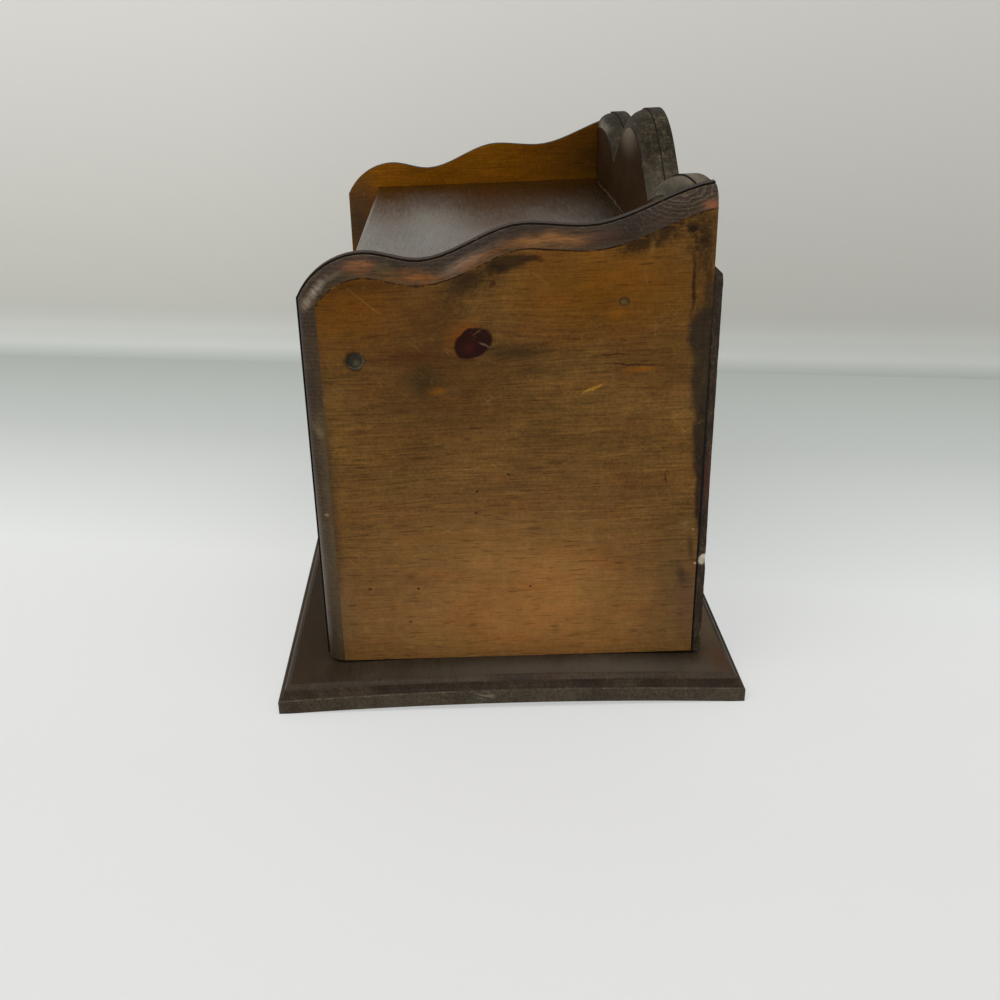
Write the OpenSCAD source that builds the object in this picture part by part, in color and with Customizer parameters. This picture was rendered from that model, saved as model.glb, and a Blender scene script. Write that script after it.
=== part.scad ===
// Bread box of stained pine: two scrolled side panels on a moulded base board, a shelf on top
// with a scrolled gallery behind it, a thin nailed back, and a lift-up door hung on two dowels.
// Frame: origin on the table under the middle of the base, front towards -Y, +Z up, millimetres.

/* [Body] */
// Width over the outer faces of the side panels
body_w = 445; // [380:1:560]
// Depth of the side panels, front edge to back edge
body_d = 250; // [225:1:340]

/* [Side panels] */
// Thickness of a side panel
side_t = 19; // [16:0.5:24]
// Height of the straight front edge, from the foot of the panel
front_h = 250; // [225:1:300]
// Distance of the front crest of the scroll from the front edge
crest_1_y = 42; // [34:1:50]
// Height of the front crest above the front edge
crest_1_h = 25.7; // [22:0.1:32]
// Distance of the front dip from the front edge
dip_1_y = 75; // [66:1:90]
// Height of the front dip above the front edge
dip_1_h = 19.8; // [16:0.1:24]
// Distance of the middle crest from the front edge
crest_2_y = 139; // [125:1:150]
// Height of the middle crest above the front edge
crest_2_h = 39.2; // [32:0.1:46]
// Distance of the rear dip from the front edge
dip_2_y = 176; // [165:1:190]
// Height of the rear dip above the front edge
dip_2_h = 36.6; // [30:0.1:42]
// Height of the top corner at the back edge above the front edge
back_h = 58.5; // [50:0.5:70]
// Slope of the scroll where it meets the back edge
back_slope = 0.12; // [0:0.01:0.4]

/* [Moulded edge] */
// Radius of the quarter round along the scrolled edges
ovolo_r = 11.5; // [8:0.5:12.5]
// Height of the step between the flat strip and the quarter round
ovolo_step = 1.2; // [0.5:0.1:2]
// Height of the quirk between the quarter round and the face
ovolo_quirk = 0.5; // [0.3:0.1:1]

/* [Base] */
// Thickness of the base board
base_t = 17.5; // [16:0.5:24]
// Overhang of the base around the side panels
base_overhang = 31; // [24:1:45]
// Height of the plain fillet under the ogee
base_fillet = 9.5; // [7:0.5:12]
// Rise of the cupped board at mid depth
base_cup = 4.2; // [1:0.1:5]
// Wear that flattens the front and back edges underneath
base_wear = 0.4; // [0.2:0.05:0.6]

/* [Shelf] */
// Thickness of the shelf
shelf_t = 19; // [16:0.5:21]
// Height of the top of the shelf above the front edges of the panels
shelf_h = 4.8; // [2:0.1:10]
// Set-back of the shelf behind the front edges of the panels
shelf_setback = 28; // [24:1:32]
// Depth of the housings that hold the ends of the shelf
housing = 6; // [4:0.5:8]
// Rounding of the front edge of the shelf
shelf_round = 2; // [1:0.5:4]

/* [Gallery] */
// Thickness of the gallery
gallery_t = 19; // [16:0.5:24]
// Height of the top of the arch above the shelf
arch_h = 79.7; // [70:0.1:90]
// Radius of the arch
arch_r = 106; // [90:1:120]
// Slope angle of the straight flanks of the arch
flank_angle = 37; // [34:1:42]
// Height of the end lobes above the shelf
lobe_h = 53.7; // [46:0.1:58]
// Radius of the end lobes
lobe_r = 238; // [200:1:280]
// Distance of the crest of a lobe from the middle
lobe_x = 172; // [160:1:180]

/* [Back panel] */
// Thickness of the back panel
back_t = 5.5; // [4:0.5:9]
// How far the back panel laps over the foot of the gallery
back_lap = 2; // [1:0.5:8]

/* [Door] */
// Thickness of the door
door_t = 19; // [16:0.5:20]
// Running gap between the door and each side panel
door_gap = 1; // [0.6:0.1:2]
// Gap between the door and the crown of the base
door_floor_gap = 3; // [2:0.5:5]
// Height of the door above its pivots
door_rise = 21; // [17:0.5:21]
// Rounding of the front edges of the door
door_round = 2.5; // [1:0.5:5]
// Distance of the pivots from the front edge of the panels
pivot_y = 34.7; // [33.5:0.1:40]
// Height of the underside of the shelf above the pivots
pivot_h = 23.8; // [23.8:0.1:35.8]
// Diameter of the pivot dowels
dowel_d = 11; // [8:0.5:12]
// Radial running clearance of a dowel in its side panel
dowel_clear = 0.08; // [0.02:0.01:0.1]
// How far a dowel end lies below the face of the panel
dowel_recess = 1.2; // [0.5:0.1:3]
// Length of dowel glued into the door
dowel_grip = 32; // [20:1:50]

/* [Knob] */
// Largest diameter of the knob
knob_d = 28; // [22:1:34]
// Projection of the knob from the door
knob_l = 23; // [20:0.5:24]
// Height of the knob above the bottom edge of the door
knob_h = 45; // [35:1:90]

/* [Door stop] */
// Width of the stop strip behind the door
stop_w = 12; // [8:0.5:18]
// Height of the stop strip
stop_h = 12; // [8:0.5:18]
// Gap between the closed door and the stop
stop_gap = 0.4; // [0.3:0.1:1]

/* [Fasteners] */
// Shank diameter of the wood screws
screw_d = 4; // [3:0.5:5]
// Length of the wood screws
screw_l = 45; // [38:1:55]
// Distance of the outer base screws from the ends of a panel
screw_end = 40; // [25:1:60]
// Distance of the outer gallery screws from the ends of the gallery
gallery_screw_end = 55; // [30:1:80]
// Shank diameter of the back panel nails
nail_d = 1.8; // [1.4:0.1:2.4]
// Length of the back panel nails under the head
nail_l = 22; // [18:1:30]
// Number of nails along each side panel
side_nails = 4; // [3:1:6]
// Number of nails along the shelf
shelf_nails = 3; // [2:1:5]
// Shank diameter of the brads in the stop strip
brad_d = 1.4; // [1.2:0.1:2]

/* [Hidden] */
$fn = 64;

stain_dark = "#3a2616";
stain_brown = "#4a2f17";
stain_honey = "#7a4d1c";
steel = "#8d8a84";

// Play between a fastener, or a glued dowel, and its hole
fit_clear = 0.02;
// Overlap of a cutting tool past the face that it opens
cut = 1;
// Slant of a moulding step over its height
step_draft = 0.1;

// Half sizes and levels
half_w = body_w / 2;
half_d = body_d / 2;
inner_w = half_w - side_t;
base_hx = half_w + base_overhang;
base_hy = half_d + base_overhang;
foot_z = base_t + base_cup;
shelf_top = foot_z + front_h + shelf_h;
shelf_under = shelf_top - shelf_t;
shelf_front = -half_d + shelf_setback;
panel_mid_x = half_w - side_t / 2;
gallery_mid_y = half_d - gallery_t / 2;

// Door and pivot places
pivot_py = -half_d + pivot_y;
pivot_pz = shelf_under - pivot_h;
door_hx = inner_w - door_gap;
door_front = pivot_py - door_t / 2;
door_back = pivot_py + door_t / 2;
door_bottom = foot_z + door_floor_gap;
door_top = pivot_pz + door_rise;
knob_z = door_bottom + knob_h;
dowel_r = dowel_d / 2;
dowel_outer = half_w - dowel_recess;
dowel_inner = door_hx - dowel_grip;
// Room left for glue behind a dowel
dowel_spare = 2;

// Height of the cupped board above its straight underside, at depth y
function bow(y) = base_cup * (1 - pow(y / base_hy, 2));
function base_top(y) = base_t + bow(y);
function base_under(y) = max(0, bow(y) - base_wear);

// Curves and profiles
function arc(centre, r, a0, a1, n) =
    [for (i = [0:n]) let (a = a0 + (a1 - a0) * i / n) centre + r * [cos(a), sin(a)]];

function blend_height(h0, h1, m0, m1, span, t) =
    h0 * (2 * pow(t, 3) - 3 * pow(t, 2) + 1) + h1 * (3 * pow(t, 2) - 2 * pow(t, 3))
    + span * m0 * (pow(t, 3) - 2 * pow(t, 2) + t) + span * m1 * (pow(t, 3) - pow(t, 2));

// Smooth run from one scroll point to the next, each given as [distance, height, slope]
function run(p, q, n) =
    [for (i = [1:n]) let (t = i / n, span = q[0] - p[0])
        [p[0] + span * t, blend_height(p[1], q[1], p[2], q[2], span, t)]];

// Front edge and scrolled top of a side panel, from the foot to the back corner
crest_1_r = (pow(crest_1_y, 2) + pow(crest_1_h, 2)) / (2 * crest_1_h);
crest_1_start = atan2(crest_1_r - crest_1_h, -crest_1_y);
crest_1 = [crest_1_y, front_h + crest_1_h, 0];
dip_1 = [dip_1_y, front_h + dip_1_h, 0];
crest_2 = [crest_2_y, front_h + crest_2_h, 0];
dip_2 = [dip_2_y, front_h + dip_2_h, 0];
back_corner = [body_d, front_h + back_h, back_slope];
scroll_path = concat(
    [[0, 0]],
    arc([crest_1_y, front_h + crest_1_h - crest_1_r], crest_1_r, crest_1_start, 90, 10),
    run(crest_1, dip_1, 6),
    run(dip_1, crest_2, 9),
    run(crest_2, dip_2, 6),
    run(dip_2, back_corner, 10));

// Right half of the gallery outline: arch, straight flank, and the lobe past the notch
flank_rise = arch_h - arch_r + arch_r / cos(flank_angle);
flank_slope = tan(flank_angle);
lobe_centre = [lobe_x, lobe_h - lobe_r];
notch_a = 1 + pow(flank_slope, 2);
notch_b = lobe_x + flank_slope * (flank_rise - lobe_centre[1]);
notch_c = pow(lobe_x, 2) + pow(flank_rise - lobe_centre[1], 2) - pow(lobe_r, 2);
notch_x = (notch_b - sqrt(pow(notch_b, 2) - notch_a * notch_c)) / notch_a;
notch = [notch_x, flank_rise - flank_slope * notch_x];
lobe_start = atan2(notch[1] - lobe_centre[1], notch[0] - lobe_centre[0]);
lobe_end = acos((inner_w - lobe_x) / lobe_r);
gallery_half = concat(
    arc([0, arch_h - arch_r], arch_r, 90, 90 - flank_angle, 10),
    arc(lobe_centre, lobe_r, lobe_start, lobe_end, 12));
gallery_path = concat(
    [for (i = [len(gallery_half) - 1:-1:1]) [-gallery_half[i][0], gallery_half[i][1]]],
    gallery_half);
gallery_feet = [for (i = [len(gallery_path) - 1:-1:0]) [gallery_path[i][0], 0]];

// Normal of a stretch of outline, pointing into the wood, which lies on its right
function wood_side(p, q) = let (d = (q - p) / norm(q - p)) [d[1], -d[0]];

// Outline moved into the wood by d, mitred at its points, its last point kept on a plumb end
function inset_path(path, d, plumb_start) =
    let (n = len(path))
    [for (i = [0:n - 1])
        let (before = i == 0 ? undef : wood_side(path[i - 1], path[i]),
             after = i == n - 1 ? undef : wood_side(path[i], path[i + 1]))
        i == n - 1 ? path[i] + [0, d / before[1]]
        : i == 0 ? path[i] + (plumb_start ? [0, d / after[1]] : d * after)
        : path[i] + d * (before + after) / (1 + before * after)];

// Moulding of a scrolled edge as [depth from the plain face, inset of the outline]
function moulding(thickness) =
    let (strip = thickness - ovolo_r - ovolo_quirk)
    concat(
        [[0, 0], [strip, 0], [strip + step_draft, ovolo_step]],
        [for (a = [15:15:90])
            [strip + ovolo_r * sin(a), ovolo_step + ovolo_r * (1 - cos(a))]],
        [[thickness, ovolo_step + ovolo_r]]);

// Two triangles for each patch between neighbouring rings of n points
function ring_faces(rings, n, flip) =
    [for (k = [0:rings - 2], i = [0:n - 1], half = [0, 1])
        let (j = (i + 1) % n,
             quad = flip ? [k * n + i, k * n + n + i, k * n + n + j, k * n + j]
                         : [k * n + i, k * n + j, k * n + n + j, k * n + n + i])
        half == 0 ? [quad[0], quad[1], quad[2]] : [quad[0], quad[2], quad[3]]];

// Number of the square-edged point across from point i of a path of m points, n points in all
function across(i, m, n) = max(n - 1 - i, m);

// Flat face of a board, in triangles between its path and the points across
function flat_faces(m, n) =
    [for (i = [0:m - 2], half = [0, 1])
        let (a = across(i, m, n), b = across(i + 1, m, n))
        if (half == 0 || a != b) half == 0 ? [i, i + 1, b] : [i, b, a]];

// Board with a moulded edge along path and square edges through the points in rest, which are
// either one corner or a point across from each point of the path, in reverse order
module moulded_board(path, rest, thickness, plumb_start) {
    levels = moulding(thickness);
    m = len(path);
    n = m + len(rest);
    last = (len(levels) - 1) * n;
    points = [for (level = levels, p = concat(inset_path(path, level[1], plumb_start), rest))
        [level[0], p[0], p[1]]];
    plain_face = [for (f = flat_faces(m, n)) [f[2], f[1], f[0]]];
    moulded_face = [for (f = flat_faces(m, n)) [last + f[0], last + f[1], last + f[2]]];
    polyhedron(points, concat(plain_face, moulded_face, ring_faces(len(levels), n, false)));
}

// Wood screw pointing up from the underside of its head, clear is added to its radius
module wood_screw(length, clear = 0) {
    r = screw_d / 2 + clear;
    head_r = screw_d + clear;
    head_h = screw_d / 2;
    rotate_extrude()
        polygon([[0, 0], [head_r, 0], [r, head_h], [r, length - screw_d], [0, length + clear]]);
}

// Round nail pointing along +Z from under its head
module nail(d, length, head_r, head_h, clear = 0) {
    r = d / 2 + clear;
    rotate_extrude()
        polygon([[0, -head_h], [head_r + clear, -head_h], [head_r + clear, 0], [r, 0],
                 [r, length - d], [0, length + clear]]);
}

// Places of the fasteners
base_screw_sink = 0.5;
base_screw_places = [for (side = [-1, 1], y = [-half_d + screw_end, 0, half_d - screw_end])
    [side * panel_mid_x, y, base_under(y) + base_screw_sink]];
gallery_screw_x = inner_w - gallery_screw_end;
gallery_screw_places = [for (x = [-1, -1 / 3, 1 / 3, 1] * gallery_screw_x)
    [x, gallery_mid_y, shelf_under]];
nail_head_r = 1.3 * nail_d;
nail_head_h = 0.45 * nail_d;
nail_end = 30;
nail_low = foot_z + nail_end;
nail_high = shelf_under - nail_end;
shelf_nail_x = inner_w - 3 * nail_end;
side_nail_places = [for (side = [-1, 1], i = [0:side_nails - 1])
    [side * panel_mid_x, half_d + back_t, nail_low + (nail_high - nail_low) * i / (side_nails - 1)]];
shelf_nail_places = [for (i = [0:shelf_nails - 1])
    [shelf_nail_x * (2 * i / (shelf_nails - 1) - 1), half_d + back_t, shelf_top - shelf_t / 2]];
nail_places = concat(side_nail_places, shelf_nail_places);

// Stop strip and its brads
stop_front = door_back + stop_gap;
stop_mid = stop_front + stop_w / 2;
stop_z = max(base_top(stop_front), base_top(min(stop_front + stop_w, 0)));
brad_l = stop_h + base_t / 2;
brad_head_r = brad_d;
brad_head_h = brad_d / 2;
brad_end = 35;
brad_places = [for (i = [-1:1]) [i * (inner_w - brad_end), stop_mid, stop_z + stop_h - brad_head_h]];

module base_screw_set(clear = 0) {
    for (p = base_screw_places) translate(p) wood_screw(screw_l, clear);
}

module gallery_screw_set(clear = 0) {
    for (p = gallery_screw_places) translate(p) wood_screw(screw_l, clear);
}

module back_nail_set(clear = 0) {
    for (p = nail_places)
        translate(p) rotate([90, 0, 0]) nail(nail_d, nail_l, nail_head_r, nail_head_h, clear);
}

module stop_brad_set(clear = 0) {
    for (p = brad_places)
        translate(p) rotate([180, 0, 0]) nail(brad_d, brad_l, brad_head_r, brad_head_h, clear);
}

// Square bar profile, depth along X and height along Y, with its two front corners rounded
module eased_bar(depth, height, r) {
    translate([r, 0]) square([depth - r, height]);
    translate([0, r]) square([depth, height - 2 * r]);
    for (y = [r, height - r]) translate([r, y]) circle(r);
}

// Base: cupped board with a fillet and an ogee round its edge, drawn through stations in depth
rest_line = sqrt(1 - base_wear / base_cup);
base_steps = 14;
base_stations = concat([-1], [for (i = [0:base_steps]) rest_line * (2 * i / base_steps - 1)], [1]);
ogee_r = (base_t - base_fillet) / 2;
base_levels = concat(
    [[0, 0], [0, base_fillet]],
    [for (a = [18:18:90]) [ogee_r * sin(a), base_fillet + ogee_r * (1 - cos(a))]],
    [for (a = [18:18:90]) [ogee_r * (2 - cos(a)), base_fillet + ogee_r * (1 + sin(a))]]);

module cupped_board() {
    count = len(base_stations);
    n = 2 * count;
    last = (len(base_levels) - 1) * n;
    points = [for (k = [0:len(base_levels) - 1], side = [1, -1], station = base_stations)
        let (inset = base_levels[k][0],
             y = side * (base_hy - inset) * station,
             z = k == 0 ? base_under(y) : base_levels[k][1] + bow(y))
        [side * (base_hx - inset), y, z]];
    underside = [for (i = [0:count - 2]) [i, i + 1, n - 2 - i, n - 1 - i]];
    top = [for (i = [0:count - 2]) [last + n - 1 - i, last + n - 2 - i, last + i + 1, last + i]];
    polyhedron(points, concat(underside, top, ring_faces(len(base_levels), n, true)));
}

module base_board() {
    color(stain_dark)
    difference() {
        cupped_board();
        base_screw_set(fit_clear);
        for (p = base_screw_places)
            translate([p[0], p[1], -cut]) cylinder(r = screw_d + fit_clear, h = p[2] + cut + fit_clear);
        stop_brad_set(fit_clear);
    }
}

// Right panel: moulded board with the bore for the pivot and the housing for the shelf
module side_panel() {
    difference() {
        translate([inner_w, -half_d, foot_z])
            moulded_board(scroll_path, [[body_d, 0]], side_t, false);
        translate([inner_w - cut, pivot_py, pivot_pz])
            rotate([0, 90, 0]) cylinder(r = dowel_r + dowel_clear, h = side_t + 2 * cut);
        translate([inner_w - cut, shelf_front, shelf_under])
            cube([housing + cut, half_d - shelf_front + cut, shelf_t]);
        base_screw_set(fit_clear);
        back_nail_set(fit_clear);
    }
}

module right_side_panel() {
    color(stain_honey) side_panel();
}

module left_side_panel() {
    color(stain_honey) mirror([1, 0, 0]) side_panel();
}

module top_shelf() {
    length = 2 * (inner_w + housing);
    color(stain_dark)
    difference() {
        translate([-length / 2, shelf_front, shelf_under])
            rotate([90, 0, 90]) linear_extrude(length) eased_bar(half_d - shelf_front, shelf_t, shelf_round);
        gallery_screw_set(fit_clear);
        back_nail_set(fit_clear);
    }
}

module back_gallery() {
    color(stain_dark)
    difference() {
        translate([0, half_d, shelf_top]) rotate([0, 0, -90])
            moulded_board(gallery_path, gallery_feet, gallery_t, true);
        gallery_screw_set(fit_clear);
    }
}

module back_panel() {
    color(stain_brown)
    difference() {
        translate([-half_w, half_d, foot_z]) cube([body_w, back_t, shelf_top - foot_z + back_lap]);
        back_nail_set(fit_clear);
    }
}

module pivot_dowel() {
    translate([dowel_inner, pivot_py, pivot_pz])
        rotate([0, 90, 0]) cylinder(r = dowel_r, h = dowel_outer - dowel_inner);
}

module right_pivot_dowel() {
    color(stain_brown) pivot_dowel();
}

module left_pivot_dowel() {
    color(stain_brown) mirror([1, 0, 0]) pivot_dowel();
}

// Door: board with eased front edges, bored at both ends for the pivots
module front_door() {
    height = door_top - door_bottom;
    color(stain_brown)
    difference() {
        intersection() {
            translate([-door_hx, door_front, door_bottom])
                rotate([90, 0, 90]) linear_extrude(2 * door_hx) eased_bar(door_t, height, door_round);
            translate([door_hx, door_front, door_bottom])
                linear_extrude(height) rotate(90) eased_bar(door_t, 2 * door_hx, door_round);
        }
        for (side = [0, 1]) mirror([side, 0, 0])
            translate([dowel_inner - dowel_spare, pivot_py, pivot_pz]) rotate([0, 90, 0])
                cylinder(r = dowel_r + fit_clear, h = dowel_grip + dowel_spare + cut);
        place_knob_screw() knob_screw_shape(fit_clear);
    }
}

// Turned knob: collar, neck and a domed head, with a pilot hole for its screw
knob_collar_r = 0.32 * knob_d;
knob_neck_r = 0.21 * knob_d;
knob_collar_h = 3;
knob_head_h = 0.5 * knob_d;
knob_rim_r = 0.18 * knob_d;
knob_screw_bite = 12;
knob_screw_l = door_t + knob_screw_bite;
knob_screw_head_r = 0.95 * screw_d;
knob_screw_head_h = 0.5 * screw_d;

module door_knob() {
    rim_x = knob_d / 2 - knob_rim_r;
    rim_y = knob_l - knob_head_h + knob_rim_r;
    dome_r = (pow(rim_x, 2) + pow(knob_l - rim_y, 2)) / (2 * (knob_l - rim_y)) + knob_rim_r;
    color(stain_brown)
    difference() {
        translate([0, door_front, knob_z]) rotate([90, 0, 0])
            rotate_extrude() {
                square([knob_collar_r, knob_collar_h]);
                square([knob_neck_r, knob_l - knob_head_h + knob_rim_r]);
                translate([rim_x, rim_y]) circle(knob_rim_r);
                intersection() {
                    translate([0, knob_l - dome_r]) circle(dome_r);
                    translate([0, rim_y - knob_rim_r]) square([rim_x, knob_head_h]);
                }
            }
        place_knob_screw() knob_screw_shape(fit_clear);
    }
}

module knob_screw_shape(clear = 0) {
    nail(screw_d, knob_screw_l, knob_screw_head_r, knob_screw_head_h, clear);
}

module place_knob_screw() {
    translate([0, door_back, knob_z]) rotate([90, 0, 0]) children();
}

module knob_screw() {
    color(steel) place_knob_screw() knob_screw_shape();
}

module door_stop() {
    color(stain_brown)
    difference() {
        translate([-inner_w, stop_front, stop_z]) cube([2 * inner_w, stop_w, stop_h]);
        stop_brad_set(fit_clear);
    }
}

module base_screws() {
    color(steel) base_screw_set();
}

module gallery_screws() {
    color(steel) gallery_screw_set();
}

module back_panel_nails() {
    color(steel) back_nail_set();
}

module stop_brads() {
    color(steel) stop_brad_set();
}

base_board();
right_side_panel();
left_side_panel();
top_shelf();
back_gallery();
back_panel();
front_door();
right_pivot_dowel();
left_pivot_dowel();
door_knob();
knob_screw();
door_stop();
base_screws();
gallery_screws();
back_panel_nails();
stop_brads();
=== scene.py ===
import math

import bmesh
import bpy
from mathutils import Euler, Matrix, Vector, noise


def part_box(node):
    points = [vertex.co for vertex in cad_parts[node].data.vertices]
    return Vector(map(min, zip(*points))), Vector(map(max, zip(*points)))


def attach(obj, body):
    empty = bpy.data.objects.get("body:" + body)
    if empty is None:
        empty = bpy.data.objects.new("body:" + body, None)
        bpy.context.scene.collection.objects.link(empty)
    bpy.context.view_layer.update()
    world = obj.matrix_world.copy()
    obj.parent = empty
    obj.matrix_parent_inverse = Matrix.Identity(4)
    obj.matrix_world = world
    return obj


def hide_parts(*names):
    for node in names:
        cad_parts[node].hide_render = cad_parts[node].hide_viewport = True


# Bread box of stained pine on a pale table, in soft light. Sizes are in mm, and MM makes metres of them.
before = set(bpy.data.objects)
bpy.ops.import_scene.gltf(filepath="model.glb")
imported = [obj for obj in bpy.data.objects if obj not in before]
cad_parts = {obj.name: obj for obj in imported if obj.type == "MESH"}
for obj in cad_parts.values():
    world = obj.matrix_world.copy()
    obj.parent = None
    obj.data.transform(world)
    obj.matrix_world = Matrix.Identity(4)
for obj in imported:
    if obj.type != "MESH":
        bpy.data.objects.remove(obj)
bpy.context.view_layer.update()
MM = 0.001

panel_low, panel_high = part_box("right_side_panel")
gallery_low, gallery_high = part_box("back_gallery")
back_low, back_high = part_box("back_panel")
base_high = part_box("base_board")[1]


def linear(code):
    """sRGB hex to the linear colour of a shader socket."""
    parts = [int(code[i:i + 2], 16) / 255 for i in (1, 3, 5)]
    return [c / 12.92 if c <= 0.04045 else ((c + 0.055) / 1.055) ** 2.4 for c in parts] + [1.0]


def metres(lengths):
    """Lengths in mm as the metres of a socket."""
    return [length * MM for length in lengths]


def add(tree, kind, feeds=None, out=0, stops=None, **settings):
    """A node with its settings, its colour stops and what feeds its sockets; gives one output. A Mix node
    takes its share at 0, numbers at 2 and 3, vectors at 4 and 5 and colours at 6 and 7, and gives a number
    at 0, a vector at 1 and a colour at 2. Gradient and Wave give their strength at 1."""
    node = tree.nodes.new(kind)
    for key, value in settings.items():
        setattr(node, key, value)
    for key, value in (feeds or {}).items():
        if isinstance(value, bpy.types.NodeSocket):
            tree.links.new(value, node.inputs[key])
        else:
            node.inputs[key].default_value = value
    if stops:
        ramp = node.color_ramp
        while len(ramp.elements) < len(stops):
            ramp.elements.new(0.5)
        for element, (place, code) in zip(ramp.elements, stops):
            element.position = place
            element.color = linear(code)
    return node.outputs[out]


def new_material(name):
    """A material with its node tree and its shader."""
    material = bpy.data.materials.new(name)
    material.use_nodes = True
    return material, material.node_tree, material.node_tree.nodes["Principled BSDF"]


# Sizes in mm of the patterns of old stained pine. Real fibres are about 0.03 mm wide, resin canals 0.2 mm and
# scratches 0.1 mm, which is too fine to show, so these are drawn as coarse as they need to be to show.
SWAY = 110
SWAY_REACH = 5
RING_WANDER = 22
FIBRE_TO_RING = 0.55
SPECK = 2.0
OUTLINE = 12
STREAK = 2.6
HUE_PATCH = 16
CANAL = 1.1
DENT = 3.2
SCRATCH = 4
SCRATCH_PATCH = 15
BUMP_DEPTH = 0.3

# Width over length of what runs with the grain, or with a scratch
RING_SHAPE = 0.02
FIBRE_SHAPE = 0.035
PATCH_SHAPE = 0.35
CANAL_SHAPE = 0.08
SCRATCH_SHAPE = 0.03

# A wave texture turns by this for each unit of its scale
WAVE_RADIANS = 20

# Strengths and colours that all the stained pine shares
SPECK_SHARE = 0.25
WHORL_STRENGTH = 0.24
STAINED_PINE_IOR = 1.5
CANAL_DARK = "#1d1106"
DENT_PALE = "#94743c"
DENT_DIRTY = "#170d05"
HUE_STOPS = [(0.3, "#f8faee"), (0.5, "#fdfbf8"), (0.7, "#fff0e2")]


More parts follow.
